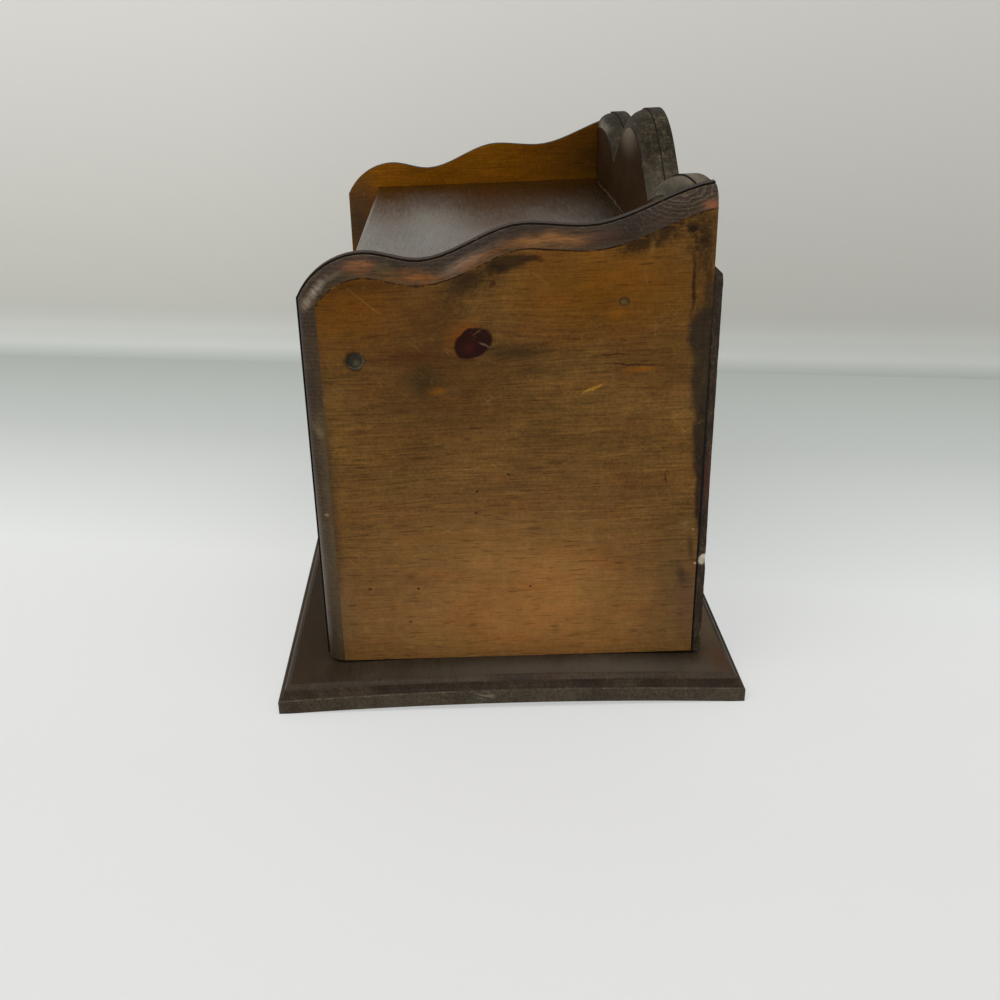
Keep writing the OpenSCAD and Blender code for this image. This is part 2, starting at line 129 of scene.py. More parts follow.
def stained_pine(name, along, stops, lean=0.0, shift=(0, 0, 0), knots=(), marks=(), ring=2.2, rings=0.12,
                 strands=0.4, blot=30.0, pores=0.25, scuffs=(), spread=0.2, gloss=(0.38, 0.52), shine=0.15,
                 film="#ffffff", relief=0.3, ragged=7.0, nicks=0.2, whorl=None, clouds=()):
    """Softwood under an old brown stain: growth rings and broken fibres show through patches of thicker and
    thinner colour, with a low satin gloss that follows them.

    along is the axis of the grain, lean turns the growth rings about it, and shift moves the pattern in m.
    ring is the spacing of the rings and blot the size of the patches of stain, in mm.
    rings, strands, pores and nicks are the strengths of rings, fibres, resin canals and dents.
    knots are (centre, reach) in mm, and bend the grain. marks come from mark(), and ragged is how far their
    outlines wander in mm. scuffs are (turn about X, colour, strength) of scratches.
    spread is how much of the grain's range the colour stops cover, gloss the range of roughness, relief the
    strength of the bump, and film tints the shine.
    whorl is (centre, reach, spacing, colour) of pale fibres that curl round a place where a knot was cut
    away. clouds are (size in mm, strength) of places where the stain lies thicker or has rubbed off."""
    material, tree, shader = new_material(name)
    place = add(tree, "ShaderNodeTexCoord", out="Object")

    # The grain wanders, and its lines part where they pass a knot
    flow = place
    for centre, reach in knots:
        near = add(tree, "ShaderNodeMapping", {
            "Vector": place, "Location": metres(centre), "Scale": metres(reach)}, vector_type="TEXTURE")
        pull = add(tree, "ShaderNodeTexGradient", {"Vector": near}, out=1, gradient_type="QUADRATIC_SPHERE")
        knot_height = add(tree, "ShaderNodeVectorMath", {
            0: flow, 1: (1, 1, 0), 2: (0, 0, centre[2] * MM)}, operation="MULTIPLY_ADD")
        flow = add(tree, "ShaderNodeMix", {0: pull, 4: flow, 5: knot_height}, out=1, data_type="VECTOR")
    sway = add(tree, "ShaderNodeTexNoise", {
        "Vector": place, "Scale": 1 / (SWAY * MM), "Detail": 1.0}, out="Color")
    flow = add(tree, "ShaderNodeVectorMath", {
        0: sway, 1: [SWAY_REACH * MM] * 3, 2: flow}, operation="MULTIPLY_ADD")

    # Growth rings, broken strands of fibre, fine specks, and slow changes of the stain over the board
    turn = [math.radians(lean) if axis == along else 0.0 for axis in range(3)]
    lines, broken, patch = [
        add(tree, "ShaderNodeMapping", {
            "Vector": flow, "Location": shift, "Rotation": turn,
            "Scale": [shape if axis == along else 1.0 for axis in range(3)]})
        for shape in (RING_SHAPE, FIBRE_SHAPE, PATCH_SHAPE)]
    growth = add(tree, "ShaderNodeTexWave", {
        "Vector": lines, "Scale": math.tau / (WAVE_RADIANS * ring * MM), "Distortion": 7.0, "Detail": 3.0,
        "Detail Scale": 1 / (RING_WANDER * MM), "Detail Roughness": 0.6,
    }, out=1, wave_type="BANDS", bands_direction="Z", wave_profile="SAW")
    strand = add(tree, "ShaderNodeTexNoise", {
        "Vector": broken, "Scale": 1 / (FIBRE_TO_RING * ring * MM), "Detail": 3.0, "Roughness": 0.65})
    tone = add(tree, "ShaderNodeTexNoise", {
        "Vector": patch, "Scale": 1 / (blot * MM), "Detail": 7.0, "Roughness": 0.68})
    speck = add(tree, "ShaderNodeTexNoise", {
        "Vector": place, "Scale": 1 / (SPECK * MM), "Detail": 2.0, "Roughness": 0.7})
    mixed = tone
    for share, pattern in ((rings, growth), (strands, strand), (SPECK_SHARE, speck)):
        mixed = add(tree, "ShaderNodeMix", {0: share, 2: mixed, 3: pattern}, data_type="FLOAT")
    level = add(tree, "ShaderNodeMapRange", {
        "Value": mixed, "From Min": 0.5 - spread, "From Max": 0.5 + spread})
    colour = add(tree, "ShaderNodeValToRGB", {"Fac": level}, stops=stops)

    # Stains, wear and knots, each with an uneven outline and some drawn out into streaks
    rag = add(tree, "ShaderNodeTexNoise", {
        "Vector": place, "Scale": 1 / (OUTLINE * MM), "Detail": 6.0, "Roughness": 0.75}, out="Color")
    rag = add(tree, "ShaderNodeVectorMath", {0: rag, 1: (0.5, 0.5, 0.5)}, operation="SUBTRACT")
    uneven = add(tree, "ShaderNodeVectorMath", {
        0: rag, 1: [ragged * MM] * 3, 2: place}, operation="MULTIPLY_ADD")
    for centre, radii, tilt, code, strength, soft, streak in marks:
        spot = add(tree, "ShaderNodeMapping", {
            "Vector": uneven, "Location": metres(centre), "Rotation": (math.radians(tilt), 0, 0),
            "Scale": metres(radii)}, vector_type="TEXTURE")
        glow = add(tree, "ShaderNodeTexGradient", {"Vector": spot}, out=1, gradient_type="SPHERICAL")
        if streak:
            angle, slender = streak
            drawn = add(tree, "ShaderNodeMapping", {
                "Vector": place, "Rotation": (math.radians(angle), 0, 0)}, vector_type="TEXTURE")
            drawn = add(tree, "ShaderNodeVectorMath", {
                0: drawn, 1: (0.1, slender, 1)}, operation="MULTIPLY")
            drawn = add(tree, "ShaderNodeTexNoise", {
                "Vector": drawn, "Scale": 1 / (STREAK * MM), "Detail": 3.0, "Roughness": 0.65})
            drawn = add(tree, "ShaderNodeMapRange", {
                "Value": drawn, "From Min": 0.38, "From Max": 0.62, "To Min": 0.4})
            glow = add(tree, "ShaderNodeMath", {0: glow, 1: drawn}, operation="MULTIPLY")
        glow = add(tree, "ShaderNodeMapRange", {
            "Value": glow, "From Max": soft, "To Max": strength}, interpolation_type="SMOOTHSTEP")
        colour = add(tree, "ShaderNodeMix", {0: glow, 6: colour, 7: linear(code)}, out=2, data_type="RGBA")

    # The stain is redder in some places and greener in others, lies unevenly, and lets the grain show
    hue = add(tree, "ShaderNodeTexNoise", {
        "Vector": patch, "Scale": 1 / (HUE_PATCH * MM), "Detail": 4.0, "Roughness": 0.6})
    tints = [add(tree, "ShaderNodeValToRGB", {"Fac": hue}, stops=HUE_STOPS)]
    for size, strength in clouds:
        wiped = add(tree, "ShaderNodeTexNoise", {
            "Vector": place, "Scale": 1 / (size * MM), "Detail": 6.0, "Roughness": 0.62})
        tints.append(add(tree, "ShaderNodeMapRange", {
            "Value": wiped, "From Min": 0.35, "From Max": 0.65,
            "To Min": 1 - strength, "To Max": 1 + strength}))
    tints.append(add(tree, "ShaderNodeMapRange", {
        "Value": level, "To Min": 1 - pores, "To Max": 1 + 0.6 * pores}))
    for tint in tints:
        colour = add(tree, "ShaderNodeVectorMath", {0: colour, 1: tint}, operation="MULTIPLY")

    # Resin canals, and small dents, some worn pale and some full of dirt
    dashes = add(tree, "ShaderNodeMapping", {
        "Vector": flow, "Location": shift,
        "Scale": [CANAL_SHAPE if axis == along else 1.0 for axis in range(3)]})
    pore = add(tree, "ShaderNodeTexNoise", {"Vector": dashes, "Scale": 1 / (CANAL * MM), "Detail": 1.0})
    pore = add(tree, "ShaderNodeMapRange", {
        "Value": pore, "From Min": 0.6, "From Max": 0.72, "To Max": pores})
    layers = [(pore, CANAL_DARK)]
    dent = add(tree, "ShaderNodeTexNoise", {
        "Vector": place, "Scale": 1 / (DENT * MM), "Detail": 2.0, "Roughness": 0.55})
    for low, high, code in ((0.68, 0.73, DENT_PALE), (0.32, 0.27, DENT_DIRTY)):
        nick = add(tree, "ShaderNodeMapRange", {
            "Value": dent, "From Min": low, "From Max": high, "To Max": nicks})
        layers.append((nick, code))

    # Pale fibres in rings, where a knot was cut away
    if whorl:
        centre, reach, spacing, code = whorl
        curl = add(tree, "ShaderNodeMapping", {
            "Vector": uneven, "Location": metres(centre), "Scale": metres(reach)}, vector_type="TEXTURE")
        fade = add(tree, "ShaderNodeTexGradient", {"Vector": curl}, out=1, gradient_type="SPHERICAL")
        fade = add(tree, "ShaderNodeMapRange", {"Value": fade, "From Max": 0.5, "To Max": WHORL_STRENGTH})
        fibre = add(tree, "ShaderNodeTexWave", {
            "Vector": curl, "Scale": math.tau * reach[2] / (WAVE_RADIANS * spacing), "Distortion": 4.0,
            "Detail": 3.0, "Detail Scale": 2.5,
        }, out=1, wave_type="RINGS", rings_direction="X")
        fibre = add(tree, "ShaderNodeMapRange", {"Value": fibre, "From Min": 0.7, "From Max": 0.95})
        fibre = add(tree, "ShaderNodeMath", {0: fibre, 1: fade}, operation="MULTIPLY")
        layers.append((fibre, code))

    # Scratches lie along a slanting line and break off where their patch ends
    mask = add(tree, "ShaderNodeTexNoise", {
        "Vector": place, "Scale": 1 / (SCRATCH_PATCH * MM), "Detail": 3.0})
    for tilt, code, strength in scuffs:
        slant = add(tree, "ShaderNodeMapping", {"Vector": place, "Rotation": (math.radians(tilt), 0, 0)})
        slant = add(tree, "ShaderNodeVectorMath", {0: slant, 1: (1, SCRATCH_SHAPE, 1)}, operation="MULTIPLY")
        hair = add(tree, "ShaderNodeTexNoise", {"Vector": slant, "Scale": 1 / (SCRATCH * MM), "Detail": 0.0})
        hair = add(tree, "ShaderNodeMath", {0: hair, 1: 0.5, 2: 0.008}, operation="COMPARE")
        worn = add(tree, "ShaderNodeMapRange", {
            "Value": mask, "From Min": 0.55, "From Max": 0.7, "To Max": strength})
        worn = add(tree, "ShaderNodeMath", {0: hair, 1: worn}, operation="MULTIPLY")
        layers.append((worn, code))
    for share, code in layers:
        colour = add(tree, "ShaderNodeMix", {0: share, 6: colour, 7: linear(code)}, out=2, data_type="RGBA")

    # The stain lies in the fibres, so that the gloss and the relief follow them
    dull = add(tree, "ShaderNodeMix", {0: 0.5, 2: strand, 3: tone}, data_type="FLOAT")
    dull = add(tree, "ShaderNodeMapRange", {
        "Value": dull, "From Min": 0.3, "From Max": 0.7, "To Min": gloss[0], "To Max": gloss[1]})
    height = add(tree, "ShaderNodeMath", {0: mixed, 1: pore}, operation="SUBTRACT")
    bump = add(tree, "ShaderNodeBump", {
        "Height": height, "Strength": relief, "Distance": BUMP_DEPTH * MM})
    tree.links.new(colour, shader.inputs["Base Color"])
    tree.links.new(dull, shader.inputs["Roughness"])
    tree.links.new(bump, shader.inputs["Normal"])
    shader.inputs["IOR"].default_value = STAINED_PINE_IOR
    shader.inputs["Specular IOR Level"].default_value = shine
    shader.inputs["Specular Tint"].default_value = linear(film)
    return material


# Places of marks on the side panels, in mm: the outer face, a reach through the whole board, and the knot
NEAR = 222.5
THROUGH = 400.0
KNOT = (NEAR, -18.1, 242.5)


def mark(centre, radii, tilt, code, strength, soft, streak=None):
    """A stain or worn place: centre and radii in mm, turn about X in degrees, colour, strength, soft share of
    its edge, and the angle and slenderness of its streaks."""
    return centre, radii, tilt, code, strength, soft, streak


def on_side(y, z, ry, rz, tilt, code, strength, soft, streak=None, x=NEAR, deep=THROUGH):
    """A mark on the right side panel, in mm behind its middle and above the table."""
    return mark((x, y, z), (deep, ry, rz), tilt, code, strength, soft, streak)


# Flat-sawn pine, stained honey-brown and rubbed: fine level grain with little gloss, deeper in colour above,
# with a dark knot and edges blackened by damp, and lighter below with painted light thrown up from the table.
# MOTTLED and UPRIGHT are streaks of marks.
PINE_STOPS = [(0.0, "#442f11"), (0.4, "#61441e"), (0.65, "#745327"), (1.0, "#8d6835")]
DAMP = "#2a2218"
MOTTLED = (0, 0.8)
UPRIGHT = (90, 0.25)
face_marks = [
    # Painted light: the lower face is lightened as if lit by the pale table below
    on_side(0, 45, 185, 150, 0, "#91683b", 0.85, 1.0),
    on_side(20, 55, 85, 75, 0, "#a06e38", 0.65, 1.0),
    on_side(-95, 272, 75, 60, 0, "#623a04", 0.9, 1.0),
    on_side(62, 274, 95, 52, 0, "#6f4406", 0.9, 1.0),
    on_side(-45, 215, 85, 50, 0, "#4c3113", 0.7, 1.0),
    on_side(-45, 255, 45, 40, 0, "#4f3010", 0.6, 1.0),
    on_side(95, 225, 40, 30, 0, "#553610", 0.6, 1.0),
    on_side(112, 60, 22, 90, 0, "#66502f", 0.6, 1.0),
    on_side(-112, 60, 16, 60, 0, "#75593a", 0.6, 1.0),
    on_side(-114, 150, 9, 150, 0, "#3f3223", 0.75, 1.0),
    on_side(-30, 270, 22, 20, 0, "#35250f", 0.75, 1.0, MOTTLED),
    on_side(-80, 279, 40, 8, 0, "#4a2c06", 0.7, 1.0),
    on_side(-50, 221, 20, 17, 0, "#352811", 0.7, 1.0),
    on_side(8, 236, 34, 10, -4, "#362811", 0.75, 1.0),
    on_side(-57, 236, 45, 9, 2, "#4c280f", 0.7, 1.0),
    on_side(-41, 213, 9, 3.6, 0, "#855010", 0.65, 1.0),
    on_side(-14, 284, 30, 15, 14, "#33230e", 0.85, 0.8, MOTTLED),
    on_side(-22, 280, 15, 11, 30, "#33230e", 0.8, 0.8),
    on_side(4, 291, 16, 6, 10, "#33230e", 0.9, 0.5),
    on_side(-3, 287, 9, 5, 0, "#2a1a09", 0.8, 0.7),
    on_side(17, 292, 11, 2.4, -4, "#301d0a", 0.85, 0.7),
    on_side(27, 297.5, 13, 1.7, -4, "#371808", 0.85, 0.6),
    on_side(-6, 279, 3, 2, 0, "#3d130a", 0.8, 0.8),
    on_side(117, 300, 14, 24, 0, "#2a1a0a", 0.9, 0.8, MOTTLED),
    on_side(120, 280, 9, 52, 0, "#352411", 0.8, 0.8, UPRIGHT),
    on_side(111, 306, 5, 3.5, 20, "#140c07", 0.9, 0.6),
    on_side(90, 303, 36, 11, 20, "#2e1d0b", 0.9, 0.6, MOTTLED),
    on_side(113, 272, 1.8, 27, 0, "#250f06", 0.8, 0.8),
    on_side(88, 296, 3, 9, 8, "#8a7038", 0.6, 1.0, MOTTLED),
    on_side(126, 262, 8, 22, 0, DAMP, 0.6, 0.6),
    on_side(125, 243, 17, 20, 0, DAMP, 0.95, 0.35),
    on_side(127, 214, 15, 34, 0, DAMP, 0.95, 0.35),
    on_side(127, 178, 11, 42, 0, DAMP, 0.95, 0.35),
    on_side(127, 140, 7, 36, 0, DAMP, 0.95, 0.35),
    on_side(122, 220, 16, 60, 0, "#4a3a26", 0.5, 1.0, UPRIGHT),
    on_side(116, 79, 5, 15, 14, "#33271a", 0.9, 1.0),
    on_side(121, 62, 14, 44, 0, "#664b36", 0.75, 1.0),
    on_side(121, 100, 3, 14, 8, "#3a2c1e", 0.7, 1.0),
    on_side(121.9, 113, 0.8, 0.9, 0, "#b3a389", 0.8, 0.6),
    on_side(123.8, 89.5, 0.9, 1.3, 0, "#b3a389", 0.8, 0.6),
    on_side(117, 118, 6, 7, 0, "#857045", 0.6, 1.0, MOTTLED),
    on_side(68, 257, 10, 7, 0, "#834f0d", 0.7, 1.0),
    on_side(72.2, 264.6, 3.8, 3.3, 0, "#33230f", 0.85, 0.5),
    on_side(72.2, 264.6, 2.4, 2.0, 0, "#5f5030", 0.8, 0.5),
    on_side(-23, 246, 17, 14, 25, "#844708", 0.65, 0.9),
    on_side(-18.1, 242.5, 13.2, 9.6, 25, "#260b08", 0.98, 0.16),
    on_side(-21, 240, 7, 6, 25, "#46180f", 0.55, 1.0),
    on_side(-11, 241.5, 7, 1.0, -20, "#77604f", 0.6, 0.8),
    on_side(54.5, 211, 10, 1.1, 23, "#a5822a", 0.75, 0.7),
    on_side(80, 225.8, 21, 0.9, -3, "#331c08", 0.9, 0.6),
    on_side(85, 222.5, 17, 2.6, -2, "#8a500d", 0.7, 1.0),
    on_side(66, 232, 14, 0.9, 5, "#3a200b", 0.85, 0.6),
    on_side(68, 166.5, 16, 0.5, 7, "#8c6a38", 0.6, 0.8),
    on_side(102, 151, 0.6, 9, 0, "#2c1c0c", 0.8, 0.8),
    # Painted shadow: a dark ring round the dowel's bore, set a little above and in front of it
    on_side(-91.0, 234.4, 7.8, 7.8, 0, "#170f07", 0.85, 0.45),
]
PITS = [
    (-17.8, 145.1), (-19.1, 130.7), (-91.7, 76.3), (-59.2, 75.7), (2.1, 156.1), (15.5, 75.3), (-65.9, 50.6)]
face_marks += [on_side(y, z, 1.6, 1.0, 12, "#231406", 0.9, 0.7) for y, z in PITS]
SCUFFS = [(40, "#93733c", 0.35), (-33, "#93733c", 0.3), (75, "#8a6a38", 0.25)]
CLOUDS = [(34, 0.1), (5, 0.08)]
panel_face = stained_pine(
    "side_panel_pine", 1, PINE_STOPS, knots=[(KNOT, (THROUGH, 70, 34))], marks=face_marks, strands=0.55,
    spread=0.29, shine=0.07, pores=0.4, scuffs=SCUFFS, clouds=CLOUDS, nicks=0.12)

# The same pine on the far panel, with a knot of its own and a damp rear edge
far_knot = (-NEAR, 40, 150)
far_face = stained_pine(
    "far_panel_pine", 1, PINE_STOPS, shift=(0.4, 0.3, 0.9), knots=[(far_knot, (THROUGH, 70, 34))],
    strands=0.55, spread=0.2, shine=0.07, pores=0.3, scuffs=SCUFFS, marks=[
        # Painted light: the lower face is lightened as if lit by the pale table below, as on the near panel
        mark((-NEAR, 10, 40), (THROUGH, 190, 120), 0, "#875b27", 0.8, 1.0),
        mark((-NEAR, 0, 280), (THROUGH, 190, 60), 0, "#5c3906", 0.7, 1.0),
        mark((-NEAR, -114, 150), (THROUGH, 9, 150), 0, "#3f2f1b", 0.6, 1.0),
        mark(far_knot, (THROUGH, 17, 14), 0, "#8a4a08", 0.8, 0.8),
        mark(far_knot, (THROUGH, 10, 8.5), 0, "#260b08", 0.97, 0.2),
        mark((-NEAR, 126, 200), (THROUGH, 12, 90), 0, DAMP, 0.9, 0.4)])

# Moulded edge of the panels: the cutter crossed the fibres, so that the stain went in dark, and hands have
# rubbed it rusty along the top. The grey down the front and round the front lobe is painted highlight, as is
# a pale streak along the middle of the top
EDGE_STOPS = [(0.0, "#15100b"), (0.4, "#2c231b"), (0.7, "#43362a"), (1.0, "#685744")]
ROUND_X = 217.0
ALL_ALONG = 1000.0
edge_marks = [
    on_side(0, 150, ALL_ALONG, ALL_ALONG, 0, "#4c3c29", 0.7, 1.0, x=224, deep=8),
    on_side(-113, 110, 9, 150, 0, "#5e4f3b", 0.7, 1.0, x=222, deep=7),
    # Painted highlight: a lighter grey band down the round at the front, and bright bands round the front
    # lobe
    on_side(-120, 90, 14, 105, 0, "#74695a", 0.75, 1.0, x=214, deep=9),
    on_side(-117, 271, 11, 5, 56, "#857b70", 0.85, 0.9, (-40, 0.12)),
    on_side(-110.5, 279, 12, 4.0, 48, "#a2978b", 0.9, 1.0, (-42, 0.15)),
    on_side(-101, 285.5, 11, 2.6, 30, "#6c6053", 0.5, 1.0),
    on_side(-85, 290.5, 16, 7, 0, "#8f5a33", 0.9, 0.9, (0, 0.12)),
    on_side(-70, 288, 9, 7, 0, "#4e4129", 0.8, 1.0),
    on_side(-55, 283, 32, 7.5, -3, "#885829", 0.9, 0.9, (0, 0.12)),
    # Painted highlight: a pale purple-grey streak along the middle of the round
    on_side(-20, 291.5, 30, 5.5, 26, "#8b7866", 0.8, 0.9, (24, 0.1)),
    on_side(-12, 292, 30, 7, 25, "#8a5424", 0.9, 0.9, (24, 0.1), x=220, deep=6),
    on_side(28, 302, 38, 7, 0, "#8c6038", 0.95, 0.8, (2, 0.15)),
    on_side(62, 303, 22, 6, 8, "#4d372c", 0.8, 1.0),
    on_side(88, 311, 44, 12, 22, "#1f1711", 0.85, 1.0),
    on_side(92, 311, 22, 7, 25, "#6d5e52", 0.25, 0.8, (24, 0.06)),
    on_side(121.5, 318.5, 8, 5, 0, "#8c573b", 0.85, 1.0),
    on_side(-116, 131.6, 2.5, 2, 0, "#8b7d67", 0.8, 0.8),
    on_side(-116, 188, 5, 12, 20, "#83734f", 0.5, 0.9, (60, 0.15)),
]
panel_ovolo = stained_pine(
    "moulded_edge_pine", 1, EDGE_STOPS, lean=12, marks=edge_marks, ring=2.6, rings=0.3, strands=0.3,
    spread=0.22, pores=0.35, knots=[((ROUND_X, 103, 336), (THROUGH, 42, 30))], gloss=(0.34, 0.5),
    shine=0.08, relief=0.5, scuffs=[(60, "#8b7a62", 0.4)], ragged=3.0, nicks=0.1,
    whorl=((ROUND_X, 104, 331), (THROUGH, 40, 25), 2.2, "#7c6d60"))

# Sawn top of the scroll: dark, dull and uneven
panel_strip = stained_pine(
    "scroll_top_pine", 1, EDGE_STOPS, shift=(0.2, 0.1, 0.3), spread=0.3, gloss=(0.45, 0.6), shine=0.06)

# Bottom of the groove behind the round: matt and almost black, for its dirt and for painted shade in the step
groove_pine = stained_pine(
    "groove_pine", 1, [(0.0, "#0d0a07"), (0.6, "#19130d"), (1.0, "#30251a")], gloss=(0.6, 0.8), shine=0.05)

# Quirk where the round meets the face: a line of dirt, broken where it is rubbed down to the honey stain
quirk_pine = stained_pine(
    "quirk_pine", 1, [(0.0, "#120a05"), (0.4, "#2a190b"), (0.6, "#4a2d10"), (1.0, "#80591e")], blot=2.5,
    strands=0.1, spread=0.16, gloss=(0.6, 0.8), shine=0.05)

# Arris at the top of the round, where the stain has worn off and a highlight is painted: a pale grey-brown
# line
rubbed_and_lit_arris = stained_pine(
    "rubbed_and_lit_arris_pine", 1, [(0.0, "#332b22"), (0.5, "#665b4b"), (1.0, "#9a8d77")], blot=10.0,
    gloss=(0.4, 0.55), shine=0.1)

# Inner faces, which nothing has rubbed: an even orange-brown stain, darker at the front end, with painted
# shade at the back end near the gallery
INNER_STOPS = [(0.0, "#5a3300"), (0.4, "#734503"), (0.7, "#855307"), (1.0, "#996617")]
inner_marks = [
    mark((-203, -118, 248), (THROUGH, 34, 60), 0, "#47392a", 0.9, 1.0),
    # Painted shade on the inner faces near the gallery
    mark((-203, 108, 297), (THROUGH, 84, 66), 0, "#402809", 0.85, 1.0),
    mark((-203, -60, 290), (THROUGH, 40, 10), 0, "#5a3806", 0.6, 1.0, (20, 0.15)),
    mark((203, 110, 300), (THROUGH, 60, 60), 0, "#472d0b", 0.85, 1.0)]
panel_inside = stained_pine(
    "inner_face_pine", 1, INNER_STOPS, shift=(0.7, 0.2, 0.5), marks=inner_marks, spread=0.2, shine=0.05)

# Shelf of pine under a dark brown stain and a film of polished wax, which mirrors the pale room
SHELF_STOPS = [(0.0, "#1e1206"), (0.4, "#281a0a"), (0.7, "#30200e"), (1.0, "#3b2a15")]
shelf_pine = stained_pine(
    "shelf_pine", 0, SHELF_STOPS, lean=65, shift=(0.1, 0.4, 0.2), gloss=(0.17, 0.33), shine=0.43,
    film="#ffe7c6", relief=0.09, pores=0.15, spread=0.3, strands=0.5, nicks=0.0, marks=[
        mark((30, -70, 276), (110, 34, 20), 0, "#0b0805", 0.8, 1.0, MOTTLED),
        mark((-140, 50, 276), (130, 120, 20), 0, "#1b0f03", 0.8, 1.0),
        mark((-20, -55, 276), (75, 45, 20), 0, "#4b4437", 0.7, 1.0),
        mark((-90, 104.6, 276), (130, 1.0, 12), 0, "#7d6f58", 0.6, 0.8)])

# Front and back of the gallery: dark brown pine, matt, with a greyed middle where it was handled
DARK_STOPS = [(0.0, "#20130a"), (0.4, "#2f1e0e"), (0.7, "#3d2914"), (1.0, "#4d371f")]
gallery_pine = stained_pine(
    "gallery_pine", 0, DARK_STOPS, lean=10, shift=(0.5, 0.6, 0.1), gloss=(0.55, 0.7), shine=0.03, relief=0.1,
    marks=[
        mark((-15, 106, 350), (75, 20, 38), 0, "#918878", 0.9, 1.0),
        mark((130, 106, 312), (50, 20, 16), 0, "#575043", 0.9, 0.8)])

# Moulded edge of the gallery: rough cross-cut fibres, grey with dust above; on the far lobe a dark patch is
# painted shade and a pale rim beside it a painted highlight
GREY_STOPS = [(0.0, "#16130d"), (0.4, "#2b251b"), (0.7, "#40382a"), (1.0, "#686050")]
gallery_edge = stained_pine(
    "gallery_edge_pine", 0, GREY_STOPS, shift=(0.3, 0.8, 0.7), rings=0.05, strands=0.15, blot=4.5,
    spread=0.15, pores=0.35, gloss=(0.5, 0.7), shine=0.06, relief=1.0, nicks=0.0,
    marks=[
        mark((130, 115, 300), (110, 40, 60), 0, "#6b6455", 0.55, 1.0),
        mark((165, 119, 330), (50, 14, 16), 0, "#7d7666", 0.65, 1.0),
        mark((62, 110, 330), (30, 7, 16), 0, "#1f1a12", 0.65, 1.0),
        # Painted shade in the hollow of the far lobe, and a painted highlight on its front rim
        mark((-150, 116, 334), (70, 12, 24), 0, "#191510", 0.75, 1.0),
        mark((-165, 105, 330), (60, 5, 14), 0, "#a39c90", 0.9, 1.0)])

# Groove round the gallery: matt and almost black, for its dirt and for painted shade in the step
gallery_groove = stained_pine(
    "gallery_groove_pine", 0, [(0.0, "#0f0c08"), (0.6, "#1d1811"), (1.0, "#352e22")], gloss=(0.6, 0.8),
    shine=0.05)

# Top of the base board: a dark stain worn to dull grey-brown in broad soft patches
BASE_STOPS = [(0.0, "#211a13"), (0.4, "#32291f"), (0.7, "#40362a"), (1.0, "#554a3b")]
base_pine = stained_pine(
    "base_pine", 0, BASE_STOPS, lean=60, shift=(0.9, 0.1, 0.6), rings=0.05, strands=0.25, blot=45.0,
    pores=0.15, spread=0.26, gloss=(0.45, 0.6), shine=0.05, nicks=0.0, marks=[
        # Painted highlight along the near edge of the top, lighter towards the back
        mark((242, 50, 20), (22, 190, 30), 0, "#585047", 0.85, 0.9),
        mark((200, -142, 20), (120, 26, 30), 0, "#35291c", 0.85, 0.8),
        # Painted light where the back board shades the top behind it
        mark((150, 142, 20), (120, 22, 30), 0, "#6b5a46", 0.85, 0.8),
        mark((232, 146, 20), (36, 18, 30), 0, "#4a3426", 0.8, 0.9)])

# Round of the base moulding: painted a little lighter as a highlight, with a faint shine
base_round = stained_pine(
    "base_round_pine", 0, [(0.0, "#2a231c"), (0.5, "#433a31"), (1.0, "#5b5146")], shift=(0.5, 0.1, 0.2),
    blot=45.0, strands=0.2, spread=0.26, gloss=(0.42, 0.54), shine=0.06, nicks=0.0)

# Hollow of the base moulding: painted darker as shade, and duller
base_cove = stained_pine(
    "base_cove_pine", 0, [(0.0, "#211b15"), (0.5, "#352d24"), (1.0, "#4e4437")], shift=(0.4, 0.4, 0.1),
    blot=25.0, strands=0.2, gloss=(0.5, 0.65), shine=0.06, nicks=0.0)

# Upright edge of the base: knocked and scuffed grey
base_fillet = stained_pine(
    "base_edge_pine", 0, [(0.0, "#28231c"), (0.4, "#3f382e"), (0.7, "#534b3f"), (1.0, "#776d5b")],
    shift=(0.2, 0.9, 0.4), spread=0.24, gloss=(0.45, 0.6), shine=0.08, scuffs=[(20, "#8d836d", 0.6)],
    nicks=0.05)

# Arris of that edge, where the stain has worn thin: a slightly paler line
base_arris = stained_pine(
    "base_arris_pine", 0, [(0.0, "#2a241c"), (0.5, "#50473a"), (1.0, "#7d725f")], blot=10.0,
    gloss=(0.4, 0.55), shine=0.06, nicks=0.0)

# Sawn edge of the back board: torn fibres, dark where it meets the panel, with bare pale wood in a chip
CHIP = (222, 129, 90.6)
back_board = stained_pine(
    "back_board_pine", 2, [(0.0, "#120d08"), (0.4, "#2a2017"), (0.7, "#3f3325"), (1.0, "#756853")],
    shift=(0.6, 0.3, 0.8), gloss=(0.5, 0.7), relief=0.9, ragged=3.0, blot=6.0, strands=0.2,
    spread=0.18, nicks=0.1, marks=[
        mark((222, 129, 150), (6, 8, 26), 0, "#4d2a20", 0.7, 1.0),
        mark((222, 124.6, 120), (THROUGH, 2.5, 180), 0, "#050302", 0.97, 0.4),
        mark(CHIP, (4, 3.2, 4.2), 0, "#b7ae98", 0.95, 0.4),
        mark((222, 130, 92.6), (4, 3, 3), 0, "#cfc7b4", 0.9, 0.5)])

# Flat of the back board and of the stop strip: wide upright rings under a dull dark stain
back_face = stained_pine(
    "back_face_pine", 2, [(0.0, "#1d150d"), (0.4, "#2e2317"), (0.7, "#3b2e20"), (1.0, "#4d3f2e")],
    shift=(0.6, 0.3, 0.8), ring=4.0, strands=0.35, blot=40.0, spread=0.26, pores=0.2, gloss=(0.55, 0.7),
    shine=0.06, nicks=0.05)

# Door: the honey-brown pine of the panels, with its grain level
door_pine = stained_pine("door_pine", 0, PINE_STOPS, shift=(0.8, 0.5, 0.3), strands=0.55, pores=0.3)

